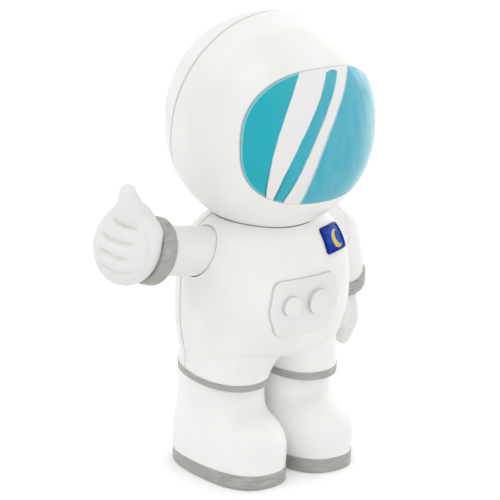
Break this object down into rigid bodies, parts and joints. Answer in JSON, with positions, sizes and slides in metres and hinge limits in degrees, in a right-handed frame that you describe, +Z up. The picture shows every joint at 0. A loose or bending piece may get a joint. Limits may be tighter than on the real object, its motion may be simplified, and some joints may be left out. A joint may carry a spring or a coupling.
{
  "type": "astronaut action figure",
  "caption": "Chunky moulded astronaut action figure with a turning globe helmet, striped visor, swinging arms, a thumbs-up glove and wide flat-soled boots.",
  "frame": {"origin": "on the floor, midway between the two boots, below the neck's axis within a few millimetres", "axes": "+Z up; the figure faces -Y; its own left hand is towards +X"},
  "size_m": [0.0877, 0.0525, 0.1176],
  "materials": {
    "white_body": "satin white moulded plastic",
    "white_helmet": "smooth white moulded plastic",
    "white_glove": "soft white vinyl",
    "grey_trim": "satin grey paint",
    "turquoise_visor": "glossy turquoise with hand-painted white stripes",
    "blue_patch": "glossy blue with a painted yellow crescent",
    "inner_nylon": "plain nylon, inside the figure"
  },
  "bodies": {
    "torso": {"torso_front_shell": "white_body", "torso_back_shell": "white_body", "chest_panel": "white_body", "small_dial": "white_body", "large_dial": "white_body", "mission_patch": "blue_patch", "right_hem_band": "grey_trim", "left_hem_band": "grey_trim", "right_boot": "white_body", "left_boot": "white_body", "right_sole": "grey_trim", "left_sole": "grey_trim"},
    "helmet": {"helmet_front_shell": "white_helmet", "helmet_back_shell": "white_helmet", "visor": "turquoise_visor", "neck_peg": "inner_nylon"},
    "right_arm": {"right_sleeve": "white_body", "right_cuff": "grey_trim", "right_shoulder_peg": "inner_nylon"},
    "right_hand": {"right_glove": "white_glove"},
    "left_arm": {"left_sleeve": "white_body", "left_cuff": "grey_trim", "left_shoulder_peg": "inner_nylon"},
    "left_hand": {"left_glove": "white_glove"}
  },
  "joints": [
    {"name": "helmet_turn", "type": "hinge", "parent": "torso", "child": "helmet", "pos_m": [0, -0.0023, 0.063], "axis": [0, 0, 1], "continuous": true},
    {"name": "right_shoulder_turn", "type": "hinge", "parent": "torso", "child": "right_arm", "pos_m": [-0.0176, -0.0008, 0.0587], "axis": [-0.9867, 0, 0.1628], "continuous": true},
    {"name": "right_wrist_turn", "type": "hinge", "parent": "right_arm", "child": "right_hand", "pos_m": [-0.03418, -0.0008, 0.06143], "axis": [-0.9544, 0, 0.2985], "continuous": true},
    {"name": "left_shoulder_swing", "type": "hinge", "parent": "torso", "child": "left_arm", "pos_m": [0.0176, -0.0005, 0.0578], "axis": [-1, 0, 0], "range_deg": [-60, 135]},
    {"name": "left_wrist_turn", "type": "hinge", "parent": "left_arm", "child": "left_hand", "pos_m": [0.0303, 0.0045, 0.0434], "axis": [0.2591, 0.3241, -0.9098], "continuous": true}
  ]
}
